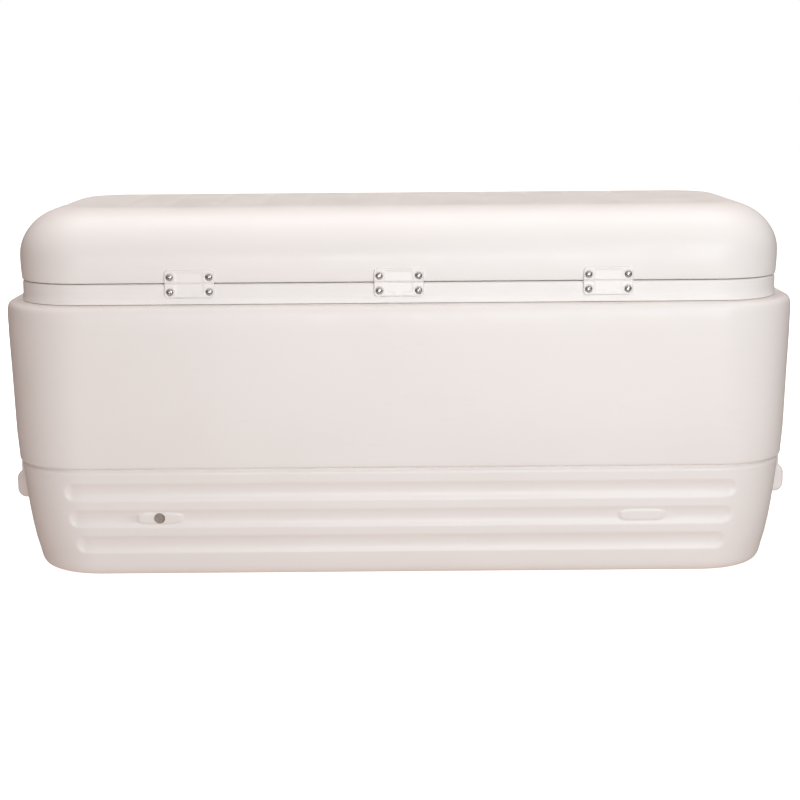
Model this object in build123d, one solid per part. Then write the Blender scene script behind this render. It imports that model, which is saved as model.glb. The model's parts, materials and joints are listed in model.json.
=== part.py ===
from build123d import *
import os
from math import sin, cos, radians

# Large insulated chest cooler. Millimetres.
# Frame: origin at the centre of the underside, +X along the length,
# +Y towards the hinge side (back), -Y towards the latches (front), +Z up.
# Every moulding is its own solid; nested skins keep a small gap.

# ---------------------------------------------------------------- dimensions
GAP = 0.3                      # gap between nested mouldings
HALF_L = 478.2                 # half length of the body at the shoulder
HALF_W = 218.5                 # half width of the body at the shoulder
Z_LEDGE = 336.3                # flat shoulder ledge
Z_RIM = 361.2                  # top of the tub's rim
Z_LID = 362.1                  # lower edge of the lid
Z_LID_WIDE = 390.5             # widest line of the lid
LID_TOP = 446.8
SKIN = 3.0                     # upper wall skin
RIB_WALL = 7.6                 # wall around the grooved lower band
FLOOR = 4.0                    # bottom skin

# outer skin of the body: (z, half length, half width, plan corner radius)
BODY_LEVELS = [
    (0.0, 435.0, 165.5, 70), (1.8, 443.0, 175.0, 75), (6.0, 448.6, 181.8, 78),
    (12.0, 451.8, 185.6, 81), (22.0, 454.3, 188.3, 84), (38.0, 458.0, 191.9, 85),
    (58.0, 461.2, 195.5, 86), (80.0, 464.0, 198.9, 87), (134.5, 469.0, 205.1, 88),
    (137.5, 465.6, 201.2, 87),              # bottom of the belt groove
    (141.5, 471.4, 207.7, 89), (175.0, 473.5, 211.1, 91), (206.0, 474.4, 213.3, 93),
    (250.0, 475.9, 215.5, 96), (290.0, 477.4, 217.4, 98), (318.0, HALF_L, HALF_W, 100),
    (329.0, 477.8, 218.0, 99.6), (333.2, 476.2, 216.2, 98), (335.4, 473.6, 213.2, 95.5),
    (Z_LEDGE, 470.0, 209.0, 92),
]

# neck of the tub and the lid
NECK_HX, NECK_HY, NECK_R = 458.4, 199.5, 80.0
LID_HX, LID_HY, LID_R = 460.0, 201.6, 82.0
LID_AX, LID_AY, LID_B = 56.5, 80.0, LID_TOP - Z_LID_WIDE

# storage tub
TUB_TOP = (438.0, 178.0, 60.0)
TUB_BOT = (424.0, 164.0, 50.0)
TUB_FLOOR = 29.0
TUB_T = 2.5

# grooves of the lower band on both long walls: (z, half length)
CHANNELS = [(110.0, 403.0), (76.4, 399.0), (43.0, 391.0)]
CH_R = 17.0
CH_DEPTH = 3.8
FILL_X, FILL_Z = 291.5, 76.4   # foam filling port
FILL_R = 6.7

# hinges
HINGE_X = (-246.5, 0.0, 246.5)
HINGE_W = 58.5
HINGE_Y, HINGE_Z = 203.4, 361.7   # fold line of the hinges, at their outer face
HINGE_T = 2.6
SCREW_DX = 23.2
SCREW_UP, SCREW_DOWN = 7.4, 10.2

# end handles
H_AX_X, H_AX_Z = 473.0, 212.0
GRIP_X, GRIP_Z = 478.5, 92.0
GRIP_HX, GRIP_HZ, GRIP_HY = 11.2, 18.0, 74.0
ARM_Y, ARM_W, ARM_T = 66.0, 16.0, 11.0
PIN_R = 3.0

# drain at the +X end
DR_Z = 34.0
DR_POCKET_X = 449.0

os.makedirs("parts", exist_ok=True)


def save(shape, name):
    export_step(shape, f"parts/{name}.step")


def rr(hx, hy, r, z):
    return Plane.XY.offset(z) * RectangleRounded(2 * hx, 2 * hy, r)


def stack(levels):
    return loft([rr(hx, hy, r, z) for (z, hx, hy, r) in levels], ruled=True)


def block(x0, x1, y0, y1, z0, z1, r=0.0, axis=Axis.X):
    b = Pos((x0 + x1) / 2, (y0 + y1) / 2, (z0 + z1) / 2) * Box(
        abs(x1 - x0), abs(y1 - y0), abs(z1 - z0))
    if r > 0:
        b = fillet(b.edges().filter_by(axis), r)
    return b


def cyl_x(r, x0, x1, y, z):
    return Pos((x0 + x1) / 2, y, z) * Rot(0, 90, 0) * Cylinder(r, abs(x1 - x0))


def cyl_y(r, x, y0, y1, z):
    return Pos(x, (y0 + y1) / 2, z) * Rot(90, 0, 0) * Cylinder(r, abs(y1 - y0))


def cyl_z(r, x, y, z0, z1):
    return Pos(x, y, (z0 + z1) / 2) * Cylinder(r, abs(z1 - z0))


def wall_y(z):
    """Half width of the long walls at height z."""
    for (z0, _, a, _), (z1, _, b, _) in zip(BODY_LEVELS, BODY_LEVELS[1:]):
        if z0 <= z <= z1:
            return a + (b - a) * (z - z0) / (z1 - z0)
    return HALF_W


def both_ends(shape):
    return [shape, mirror(shape, Plane.YZ)]


# ---------------------------------------------------------------- body shell
outer = stack(BODY_LEVELS)

cavity_levels = [
    (FLOOR, 437.0, 167.0, 62), (14.0, 443.5, 176.0, 72), (38.0, 449.0, 182.0, 76),
    (129.0, 459.6, 196.5, 80), (146.0, 467.0, 205.4, 86),
    (206.0, 471.6, 210.2, 90), (250.0, 473.5, 212.3, 93), (318.0, 475.9, 215.2, 96),
    (326.0, 474.6, 213.9, 95), (Z_LEDGE - SKIN, 468.5, 207.4, 89),
]
cavity = stack(cavity_levels)
foam_block = stack([(z, hx - GAP, hy - GAP, r) for (z, hx, hy, r) in
                    [(FLOOR + GAP,) + cavity_levels[0][1:]] + cavity_levels[1:-1]
                    + [(Z_LEDGE - SKIN - GAP,) + cavity_levels[-1][1:]]])
neck_hole = stack([(Z_LEDGE - SKIN - 1, 452.0, 191.5, 74), (Z_LEDGE + 2, 452.0, 191.5, 74)])

# round-bottomed grooves along both long walls
grooves = []
for (cz, half) in CHANNELS:
    y_wall = wall_y(cz)
    yc = y_wall + CH_R - CH_DEPTH
    bar = Pos(0, yc, cz) * Rot(0, 90, 0) * Cylinder(CH_R, 2 * half - 24)
    tips = [Pos(s * (half - 12), yc, cz) * Rot(0, s * 90, 0) * Cone(CH_R, CH_R - 5.5, 24,
            align=(Align.CENTER, Align.CENTER, Align.MIN)) for s in (-1, 1)]
    g = bar + tips
    grooves += [g, mirror(g, Plane.XZ)]

# handle pockets, finger pockets and the drain pocket, each backed by a boss
def pocket(x_floor, y0, y1, z0, z1, r, wall=3.2):
    cut = block(x_floor, 500, y0, y1, z0, z1, r)
    boss = block(x_floor - wall, 482, y0 - wall, y1 + wall, z0 - wall, z1 + wall, r + wall)
    clear = block(x_floor - wall - GAP, 500, y0 - wall - GAP, y1 + wall + GAP,
                  z0 - wall - GAP, z1 + wall + GAP, r + wall + GAP)
    return cut, boss, clear

BR_Y0, BR_Y1 = 42.0, 92.0
BR_FLOOR = 459.5
pockets = [
    pocket(BR_FLOOR, -BR_Y1 - 1, BR_Y1 + 1, 50.0, 238.0, 12.0),
    pocket(451.0, -60.0, 60.0, 64.0, 124.0, 14.0),
]
drain_cut, drain_boss, drain_clear = pocket(DR_POCKET_X, -22.0, 22.0, 14.0, 54.0, 10.0)

body_shell = outer - cavity - neck_hole
boss_parts, cut_parts, clear_parts = [], [], []
for (c, b, k) in pockets:
    cut_parts += both_ends(c)
    boss_parts += both_ends(b & outer)
    clear_parts += both_ends(k)
boss_parts.append(drain_boss & outer)
cut_parts.append(drain_cut)
clear_parts.append(drain_clear)
for b in boss_parts:
    body_shell = body_shell + b
for c in cut_parts:
    body_shell = body_shell - c
for g in grooves:
    body_shell = body_shell - g

# flat pads in the middle groove: one carries the foam filling port
pad_y = wall_y(FILL_Z)
pads = []
for sx in (1, -1):
    pad = Pos(sx * FILL_X, pad_y - 3.0, FILL_Z) * Box(34, 4.6, 12.5)
    pad = fillet(pad.edges().filter_by(Axis.Y), 5.5)
    pads.append(pad)
for pad in pads:
    body_shell = body_shell + pad
body_shell = body_shell - cyl_y(FILL_R, FILL_X, pad_y - 12, pad_y + 5, FILL_Z)

# bores for the drain tube
body_shell = body_shell - cyl_x(8.3, 430, 470, 0, DR_Z)

# ---------------------------------------------------------------- inner tub
tub_out = stack([
    (TUB_FLOOR - TUB_T, TUB_BOT[0] - 8, TUB_BOT[1] - 8, TUB_BOT[2] - 8),
    (TUB_FLOOR + 8, TUB_BOT[0] + TUB_T, TUB_BOT[1] + TUB_T, TUB_BOT[2] + TUB_T),
    (Z_RIM - 1.0, TUB_TOP[0] + TUB_T, TUB_TOP[1] + TUB_T, TUB_TOP[2] + TUB_T)])
tub_in = stack([
    (TUB_FLOOR, TUB_BOT[0] - 9, TUB_BOT[1] - 9, TUB_BOT[2] - 9),
    (TUB_FLOOR + 9, TUB_BOT[0], TUB_BOT[1], TUB_BOT[2]),
    (Z_RIM + 1.0, TUB_TOP[0], TUB_TOP[1], TUB_TOP[2])])
rim = stack([(Z_RIM - TUB_T, NECK_HX, NECK_HY, NECK_R), (Z_RIM - 1.2, NECK_HX, NECK_HY, NECK_R),
             (Z_RIM, NECK_HX - 1.2, NECK_HY - 1.2, NECK_R - 1.2)])
skirt = stack([(Z_LEDGE + GAP, NECK_HX, NECK_HY, NECK_R), (Z_RIM - TUB_T, NECK_HX, NECK_HY, NECK_R)])
skirt_in = stack([(Z_LEDGE - 1, NECK_HX - 3.2, NECK_HY - 3.2, NECK_R - 3.2),
                  (Z_RIM - TUB_T, NECK_HX - 3.2, NECK_HY - 3.2, NECK_R - 3.2)])
sump_out = block(372.0, 424.8, -25.5, 25.5, 18.5, TUB_FLOOR + 4, 8.5, Axis.Z)
sump_in = block(374.5, 422.3, -23.0, 23.0, 21.0, TUB_FLOOR + 12, 6.0, Axis.Z)
inner_liner = (skirt - skirt_in) + (rim + tub_out + sump_out - tub_in - sump_in)
inner_liner = inner_liner - cyl_x(8.3, 410, 440, 0, DR_Z)

# ---------------------------------------------------------------- foam core
tub_clear = stack([
    (TUB_FLOOR - TUB_T - GAP, TUB_BOT[0] - 8, TUB_BOT[1] - 8, TUB_BOT[2] - 8),
    (TUB_FLOOR + 8, TUB_BOT[0] + TUB_T + GAP, TUB_BOT[1] + TUB_T + GAP, TUB_BOT[2] + TUB_T),
    (Z_RIM + 1.0, TUB_TOP[0] + TUB_T + GAP, TUB_TOP[1] + TUB_T + GAP, TUB_TOP[2] + TUB_T)])
foam_neck = stack([(Z_LEDGE - SKIN - 2, 451.7, 191.2, 73.7), (Z_RIM - TUB_T - GAP, 451.7, 191.2, 73.7)])
body_foam = foam_block + foam_neck - tub_clear
for k in clear_parts:
    body_foam = body_foam - k
body_foam = body_foam - block(371.6, 425.2, -25.9, 25.9, 18.1, TUB_FLOOR + 6, 8.9, Axis.Z)
body_foam = body_foam - cyl_x(8.4, 410, 470, 0, DR_Z)
body_foam = body_foam - cyl_y(FILL_R + 1.0, FILL_X, pad_y - 14, pad_y + 5, FILL_Z)

# ---------------------------------------------------------------- port plug
fill_port_plug = cyl_y(FILL_R - 0.1, FILL_X, pad_y - 11.0, pad_y - 4.6, FILL_Z)

# ---------------------------------------------------------------- lid
def lid_levels(off, z_bottom, off_top):
    lv = [(z_bottom, NECK_HX + 0.2 - off, NECK_HY + 0.1 - off, NECK_R),
          (372.0, 459.4 - off, 200.8 - off, 81),
          (Z_LID_WIDE, LID_HX - off, LID_HY - off, LID_R)]
    for a in (15, 30, 45, 60, 73, 83):
        i = 1 - cos(radians(a))
        lv.append((Z_LID_WIDE + (LID_B - off_top) * sin(radians(a)),
                   LID_HX - off - LID_AX * i, LID_HY - off - LID_AY * i, LID_R - 40 * i))
    lv.append((LID_TOP - off_top, LID_HX - off - LID_AX, LID_HY - off - LID_AY, LID_R - 40))
    return lv

LID_T = 3.0
lid_out = stack(lid_levels(0.0, Z_LID, 0.0))
lid_hollow = stack(lid_levels(LID_T, Z_LID - 1, LID_T))
lid_shell = lid_out - lid_hollow

PAN_Z0, PAN_Z1 = Z_LID, Z_LID + 2.6
pan = stack([(PAN_Z0, NECK_HX + 0.2 - LID_T - GAP, NECK_HY + 0.1 - LID_T - GAP, 80.0),
             (PAN_Z1, NECK_HX + 0.2 - LID_T - GAP, NECK_HY + 0.1 - LID_T - GAP, 80.0)])
plug_out = stack([(350.0, 424.0, 164.0, 48), (356.0, 430.0, 170.0, 54), (PAN_Z1, 430.4, 170.4, 54)])
plug_in = stack([(352.6, 421.5, 161.5, 46), (357.5, 427.2, 167.2, 51), (PAN_Z1 + 1, 427.8, 167.8, 51)])
lid_liner = pan + plug_out - plug_in
foam_lid_low = stack([(352.9, 421.0, 161.0, 46), (357.5, 426.8, 166.8, 51), (PAN_Z1 + 2, 427.2, 167.2, 51)])
lv = lid_levels(LID_T + GAP, PAN_Z1 + GAP, LID_T + GAP)
lid_foam = stack(lv) + foam_lid_low

# ---------------------------------------------------------------- hinges
hinge_nodes = {}
HY0 = NECK_HY + 0.05            # inner face of the body leaves
names = {0: "left", 1: "centre", 2: "right"}   # as seen from the latch side
body_screws, lid_screws = [], []
for i, hx in enumerate(HINGE_X):
    low = block(hx - HINGE_W / 2, hx + HINGE_W / 2, HY0, HY0 + HINGE_T,
                HINGE_Z - 16.9, HINGE_Z - 0.5)
    low = fillet(low.edges().filter_by(Axis.Y).group_by(Axis.Z)[0], 5.0)
    up = block(hx - HINGE_W / 2, hx + HINGE_W / 2, NECK_HY + 1.2, NECK_HY + 1.2 + HINGE_T,
               HINGE_Z + 0.7, HINGE_Z + 16.3)
    up = fillet(up.edges().filter_by(Axis.Y).group_by(Axis.Z)[-1], 5.0)
    up = up - lid_out
    up = up.solids().sort_by(SortBy.VOLUME)[-1] if len(up.solids()) > 1 else up
    hinge_nodes[f"hinge_{names[i]}_body_leaf"] = low
    hinge_nodes[f"hinge_{names[i]}_lid_leaf"] = up
    for s in (-1, 1):
        x = hx + s * SCREW_DX
        z = HINGE_Z - SCREW_DOWN
        y = HY0 + HINGE_T
        body_screws.append((x, y, z))
        lid_screws.append((x, NECK_HY + 1.2 + HINGE_T, HINGE_Z + SCREW_UP))


def dome_screw(head_r, head_h, shank_r, length):
    """Dome-headed screw along Y: head seated on y = 0 and rising towards +Y."""
    R = (head_r ** 2 + head_h ** 2) / (2 * head_h)
    ball = Pos(0, head_h - R, 0) * Sphere(R)
    head = ball & block(-10, 10, 0, head_h + 1, -10, 10)
    return head + cyl_y(shank_r, 0, -length, 0, 0)


def dome_screw_y(x, y, z):
    return Pos(x, y, z) * dome_screw(4.3, 2.0, 2.0, 14.0)


def holes_y(shape, pts, r, y0, y1):
    for (x, y, z) in pts:
        shape = shape - cyl_y(r, x, y0, y1, z)
    return shape

for k in list(hinge_nodes):
    hinge_nodes[k] = holes_y(hinge_nodes[k], body_screws + lid_screws, 2.15, 190, 210)
inner_liner = holes_y(inner_liner, body_screws, 2.05, 184, 206)
body_foam = holes_y(body_foam, body_screws, 2.2, 184, 206)
lid_shell = holes_y(lid_shell, lid_screws, 2.05, 184, 206)
lid_foam = holes_y(lid_foam, lid_screws, 2.2, 184, 206)

# ---------------------------------------------------------------- latches
LATCH_X = (-246.5, 246.5)
LA_Y, LA_Z = -209.0, 383.0       # latch pivot axis
latch_nodes = {}
keeper_screws, base_screws = [], []
for i, lx in enumerate(LATCH_X):
    nm = ("left", "right")[i]
    # base plate on the lid with two ears
    base = block(lx - 38, lx + 38, -209.2, -199.0, 366.0, 395.0)
    base = fillet(base.edges().filter_by(Axis.Y), 4.0)
    base = base - block(lx - 40, lx + 40, -211, -203.6, 360, 400)
    ears = []
    for s in (-1, 1):
        ear = block(lx + s * 31.2, lx + s * 36.2, -213.2, -203.0, 377.5, 388.5)
        ear = ear + (Pos(lx + s * 33.7, LA_Y, LA_Z) * Rot(0, 90, 0) * Cylinder(5.5, 5.0))
        ears.append(ear)
    base = base + ears[0] + ears[1]
    base = base - lid_out
    base = base.solids().sort_by(SortBy.VOLUME)[-1] if len(base.solids()) > 1 else base
    base = base - (Pos(lx, LA_Y, LA_Z) * Rot(0, 90, 0) * Cylinder(2.35, 90))
    latch_nodes[f"latch_base_{nm}"] = base
    # snap latch: plate hanging from the pivot, catch lip and flared finger tab
    prof = Polyline(
        (-205.8, 386.0), (-213.6, 386.0), (-213.6, 352.0), (-217.6, 343.5),
        (-215.2, 342.4), (-209.9, 350.2), (-206.6, 353.4), (-204.6, 356.2), (-204.6, 359.2),
        (-208.8, 361.0), (-208.8, 375.0), (-204.9, 378.0), (-204.9, 384.6), close=True)
    face = make_face(Plane.YZ * prof)
    tab = extrude(face, amount=30.8, both=True)
    tab = Pos(lx, 0, 0) * tab
    pin = Pos(lx, LA_Y, LA_Z) * Rot(0, 90, 0) * Cylinder(2.3, 72.0)
    latch_nodes[f"latch_{nm}"] = tab + pin
    # keeper on the neck
    keep = block(lx - 26, lx + 26, -204.2, -NECK_HY - 0.05, 341.0, 357.0)
    keep = chamfer(keep.edges().filter_by(Axis.X).group_by(Axis.Y)[0], 1.6)
    latch_nodes[f"latch_keeper_{nm}"] = keep
    for s in (-1, 1):
        keeper_screws.append((lx + s * 17, -204.2, 349.0))
        base_screws.append((lx + s * 20.0, -203.6, 370.6))


def pan_screw_front(x, y, z, length=10.0, sink=0.0):
    """Screw whose head faces the front."""
    return Pos(x, y + sink, z) * Rot(0, 0, 180) * dome_screw(3.0, 1.6, 1.6, length)


keeper_group, base_group = [], []
for (x, y, z) in keeper_screws:
    for nm in ("right", "left"):
        k = f"latch_keeper_{nm}"
        latch_nodes[k] = latch_nodes[k] - cyl_y(1.75, x, y - 1, -190, z) - cyl_y(3.3, x, y - 1, y + 1.9, z)
    keeper_group.append(pan_screw_front(x, y, z, sink=1.9, length=8.0))
    inner_liner = inner_liner - cyl_y(1.7, x, -206, -188, z)
    body_foam = body_foam - cyl_y(1.9, x, -206, -188, z)
for (x, y, z) in base_screws:
    for nm in ("right", "left"):
        k = f"latch_base_{nm}"
        latch_nodes[k] = latch_nodes[k] - cyl_y(1.75, x, y - 1, -190, z)
    base_group.append(pan_screw_front(x, y, z, length=10.0))
    lid_shell = lid_shell - cyl_y(1.7, x, -206, -188, z)
    lid_foam = lid_foam - cyl_y(1.9, x, -206, -188, z)

# ---------------------------------------------------------------- end handles
def build_handle():
    """Swing-up bail for the +X end, hanging down."""
    grip = Pos(GRIP_X, 0, GRIP_Z) * Rot(90, 0, 0) * extrude(
        SlotOverall(2 * GRIP_HZ, 2 * GRIP_HX, rotation=90), GRIP_HY, both=True)
    grip = fillet(grip.edges().group_by(Axis.Y)[0] + grip.edges().group_by(Axis.Y)[-1], 5.0)
    h = grip
    for s in (-1, 1):
        arm = block(GRIP_X - 1.0 - ARM_T / 2, GRIP_X - 1.0 + ARM_T / 2,
                    s * ARM_Y - ARM_W / 2, s * ARM_Y + ARM_W / 2, GRIP_Z, H_AX_Z - 14)
        arm = fillet(arm.edges().filter_by(Axis.Z), 3.0)
        neck = loft([
            Plane.XY.offset(H_AX_Z - 16) * Pos(GRIP_X - 1.0, s * ARM_Y) * RectangleRounded(ARM_T, ARM_W, 3.0),
            Plane.XY.offset(H_AX_Z) * Pos(H_AX_X, s * ARM_Y) * RectangleRounded(12.0, ARM_W - 2, 3.0)], ruled=True)
        hub = cyl_y(7.0, H_AX_X, s * ARM_Y - (ARM_W - 2) / 2, s * ARM_Y + (ARM_W - 2) / 2, H_AX_Z)
        h = h + arm + neck + hub
        h = h - cyl_y(PIN_R + 0.06, H_AX_X, s * ARM_Y - 12, s * ARM_Y + 12, H_AX_Z)
    return h


def build_bracket(s):
    """Bracket in its pocket at the +X end: back plate and two ears round one arm."""
    yc = s * ARM_Y
    yc0, yc1 = s * (BR_Y0 + 1.0), s * (BR_Y1 - 1.0)
    y0, y1 = min(yc0, yc1), max(yc0, yc1)
    plate = block(BR_FLOOR + 0.02, BR_FLOOR + 3.4, y0, y1, 187.0, 235.0, 7.0)
    br = plate
    for e in (-1, 1):
        ye = yc + e * (ARM_W / 2 + 0.4 + 2.5)
        ear = block(BR_FLOOR + 3.0, H_AX_X, ye - 2.5, ye + 2.5, H_AX_Z - 7.0, H_AX_Z + 7.0)
        ear = ear + cyl_y(7.0, H_AX_X, ye - 2.5, ye + 2.5, H_AX_Z)
        br = br + ear
    br = br - cyl_y(PIN_R + 0.02, H_AX_X, yc - 30, yc + 30, H_AX_Z)
    return br


def build_handle_pin(s):
    yc = s * ARM_Y
    half = ARM_W / 2 + 0.4 + 5.0
    return cyl_y(PIN_R, H_AX_X, yc - half, yc + half, H_AX_Z)


def bracket_screws(s):
    out = []
    for z in (193.0, 229.0):
        y = s * ARM_Y
        x = BR_FLOOR + 3.4
        out.append(Pos(x, y, z) * Rot(0, 0, -90) * dome_screw(3.2, 1.5, 1.6, 12.0))
    return out

handle = build_handle()
brackets = {s: build_bracket(s) for s in (-1, 1)}
pins = [build_handle_pin(s) for s in (-1, 1)]
br_screws = bracket_screws(-1) + bracket_screws(1)
for s in (-1, 1):
    for z in (193.0, 229.0):
        brackets[s] = brackets[s] - cyl_x(1.75, 440, 480, s * ARM_Y, z)
        for e in (1, -1):
            body_shell = body_shell - cyl_x(1.7, e * 440, e * 466, s * ARM_Y, z)
            body_foam = body_foam - cyl_x(1.9, e * 440, e * 466, s * ARM_Y, z)

# ---------------------------------------------------------------- drain
tube = cyl_x(8.0, 419.5, 463.0, 0, DR_Z)
flange = cyl_x(14.0, DR_POCKET_X + 2.2, DR_POCKET_X + 5.0, 0, DR_Z)
drain_spout = tube + flange - cyl_x(5.6, 415, 470, 0, DR_Z)
drain_gasket = cyl_x(13.0, DR_POCKET_X + 0.05, DR_POCKET_X + 2.15, 0, DR_Z) - cyl_x(8.1, 440, 460, 0, DR_Z)
drain_collar = cyl_x(11.5, 419.3, 422.0, 0, DR_Z) - cyl_x(8.05, 415, 430, 0, DR_Z)
drain_collar = drain_collar & block(410, 430, -20, 20, 22.5, 60)
cap_out = cyl_x(12.6, 455.4, 467.2, 0, DR_Z)
cap_out = chamfer(cap_out.edges().group_by(Axis.X)[-1], 1.2)
drain_cap = cap_out - cyl_x(8.3, 450, 464.9, 0, DR_Z)
drain_cap_seal = cyl_x(7.9, 463.1, 464.7, 0, DR_Z) - cyl_x(4.0, 460, 470, 0, DR_Z)

# ---------------------------------------------------------------- write
save(body_shell, "body_shell")
save(body_foam, "body_foam")
save(inner_liner, "inner_liner")
save(fill_port_plug, "fill_port_plug")
save(lid_shell, "lid_shell")
save(lid_foam, "lid_foam")
save(lid_liner, "lid_liner")
for k, v in hinge_nodes.items():
    save(v, k)
save(Compound(children=[dome_screw_y(*p) for p in body_screws]), "hinge_screws_body")
save(Compound(children=[dome_screw_y(*p) for p in lid_screws]), "hinge_screws_lid")
for k, v in latch_nodes.items():
    save(v, k)
save(Compound(children=keeper_group), "latch_keeper_screws")
save(Compound(children=base_group), "latch_base_screws")
# +X is the right end as seen from the latch side
for side, flip in (("right", False), ("left", True)):
    f = (lambda s: mirror(s, Plane.YZ)) if flip else (lambda s: s)
    save(f(handle), f"{side}_handle")
    save(f(brackets[1]), f"{side}_handle_bracket_back")
    save(f(brackets[-1]), f"{side}_handle_bracket_front")
    save(Compound(children=[f(p) for p in pins]), f"{side}_handle_pins")
    save(Compound(children=[f(p) for p in br_screws]), f"{side}_handle_screws")
save(drain_spout, "drain_spout")
save(drain_gasket, "drain_gasket")
save(drain_collar, "drain_collar")
save(drain_cap, "drain_cap")
save(drain_cap_seal, "drain_cap_seal")
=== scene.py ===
import bpy
import bmesh
import json
import math
import numpy as np
from mathutils import Vector, Matrix


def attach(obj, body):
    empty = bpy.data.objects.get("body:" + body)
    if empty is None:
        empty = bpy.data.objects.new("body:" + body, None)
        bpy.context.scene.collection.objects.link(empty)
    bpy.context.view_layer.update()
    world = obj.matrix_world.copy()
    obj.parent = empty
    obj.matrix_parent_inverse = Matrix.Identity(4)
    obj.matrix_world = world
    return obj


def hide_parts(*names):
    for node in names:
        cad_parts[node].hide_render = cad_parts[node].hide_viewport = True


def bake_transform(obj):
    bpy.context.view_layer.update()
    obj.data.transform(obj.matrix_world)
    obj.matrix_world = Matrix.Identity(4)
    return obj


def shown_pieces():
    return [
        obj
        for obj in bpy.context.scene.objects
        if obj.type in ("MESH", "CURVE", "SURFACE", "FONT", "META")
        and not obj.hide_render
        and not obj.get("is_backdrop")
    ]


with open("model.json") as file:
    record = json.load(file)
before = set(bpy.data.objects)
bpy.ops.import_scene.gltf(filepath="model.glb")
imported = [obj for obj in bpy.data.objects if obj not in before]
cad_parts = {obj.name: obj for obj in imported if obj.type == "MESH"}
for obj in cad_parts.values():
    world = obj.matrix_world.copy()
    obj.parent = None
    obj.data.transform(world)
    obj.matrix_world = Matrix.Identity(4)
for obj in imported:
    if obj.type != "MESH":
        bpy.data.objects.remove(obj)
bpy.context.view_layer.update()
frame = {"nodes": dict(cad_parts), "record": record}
MM = 0.001

# ---------------------------------------------------------------- shared sizes (mm)
Z_LEDGE, Z_RIM, Z_LID, Z_WIDE, LID_TOP = 336.3, 361.2, 362.1, 390.5, 446.8
CHANNELS = [(110.0, 403.0), (76.4, 399.0), (43.0, 391.0)]
PORT_X, PORT_Z, PORT_R = 291.5, 76.4, 6.7
HINGE_X = (-246.5, 0.0, 246.5)
FOLD_Y, FOLD_Z = 203.4, 361.7

LEVELS = [                                     # height, half length, half width, corner radius
    (0.0, 435.0, 165.5, 70), (0.35, 438.4, 169.4, 72), (1.0, 441.4, 172.9, 74), (2.0, 443.8, 175.9, 75.2),
    (3.6, 446.3, 179.0, 76.6), (6.0, 448.7, 181.8, 78), (9.0, 450.5, 184.0, 79.6), (12.0, 451.8, 185.6, 81),
    (17.0, 453.2, 187.1, 82.6), (22.0, 454.3, 188.3, 84), (38.0, 458.0, 191.9, 85), (58.0, 461.2, 195.5, 86),
    (80.0, 464.0, 198.9, 87), (128.0, 468.4, 204.3, 87.9), (131.5, 468.7, 204.75, 88), (133.2, 468.8, 204.85, 88),
    (134.4, 468.5, 204.4, 88), (135.2, 467.7, 203.4, 87.6), (136.0, 466.6, 202.2, 87.2), (136.8, 465.8, 201.4, 87),
    (138.2, 465.65, 201.25, 87), (138.8, 466.0, 201.7, 87.3), (139.3, 467.3, 203.2, 87.8), (139.7, 468.8, 204.9, 88.4),
    (140.2, 470.3, 206.5, 88.8), (141.0, 471.1, 207.4, 89), (142.2, 471.45, 207.75, 89), (148.0, 471.8, 208.3, 89.4),
    (175.0, 473.5, 211.1, 91), (206.0, 474.4, 213.3, 93), (250.0, 475.9, 215.5, 96), (290.0, 477.4, 217.4, 98),
    (312.0, 478.05, 218.35, 99.6), (318.0, 478.15, 218.45, 100), (325.0, 478.05, 218.35, 100),
    (329.0, 477.7, 217.9, 99.6), (331.5, 477.0, 217.1, 99), (333.2, 476.0, 216.0, 98), (334.5, 474.7, 214.5, 97),
    (335.4, 473.2, 212.8, 95.5), (336.0, 471.6, 211.0, 93.8), (336.3, 469.6, 208.6, 92),
]


def level(z):
    """(half length, half width, corner radius) of the body's outer wall at height z."""
    for (z0, *a), (z1, *b) in zip(LEVELS, LEVELS[1:]):
        if z0 <= z <= z1:
            t = (z - z0) / (z1 - z0)
            return tuple(p + (q - p) * t for p, q in zip(a, b))
    return tuple(LEVELS[-1][1:])


def wall_y(z):
    return level(z)[1]


# ---------------------------------------------------------------- mesh helpers
def new_mesh(name, verts, faces, scale=MM):
    me = bpy.data.meshes.new(name)
    me.from_pydata([tuple(float(c) * scale for c in v) for v in verts], [], faces)
    me.validate()
    me.update()
    ob = bpy.data.objects.new(name, me)
    bpy.context.scene.collection.objects.link(ob)
    return ob


def tidy(ob, merge=1e-6, recalc=True):
    bm = bmesh.new()
    bm.from_mesh(ob.data)
    bmesh.ops.remove_doubles(bm, verts=bm.verts, dist=merge)
    bmesh.ops.dissolve_degenerate(bm, dist=1e-7, edges=bm.edges)
    loose = [v for v in bm.verts if not v.link_faces]
    if loose:
        bmesh.ops.delete(bm, geom=loose, context="VERTS")
    if recalc:
        bmesh.ops.recalc_face_normals(bm, faces=bm.faces)
    bm.to_mesh(ob.data)
    bm.free()
    ob.data.update()
    return ob


def smooth(ob, angle=35.0):
    me = ob.data
    me.polygons.foreach_set("use_smooth", [True] * len(me.polygons))
    bm = bmesh.new()
    bm.from_mesh(me)
    lim = math.radians(angle)
    for e in bm.edges:
        if len(e.link_faces) == 2:
            e.smooth = e.calc_face_angle(0.0) < lim
        else:
            e.smooth = False
    bm.to_mesh(me)
    bm.free()
    me.update()
    return ob


def apply_mods(ob):
    dg = bpy.context.evaluated_depsgraph_get()
    ev = ob.evaluated_get(dg)
    me = bpy.data.meshes.new_from_object(ev)
    ob.modifiers.clear()
    old = ob.data
    ob.data = me
    bpy.data.meshes.remove(old)
    return ob


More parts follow.
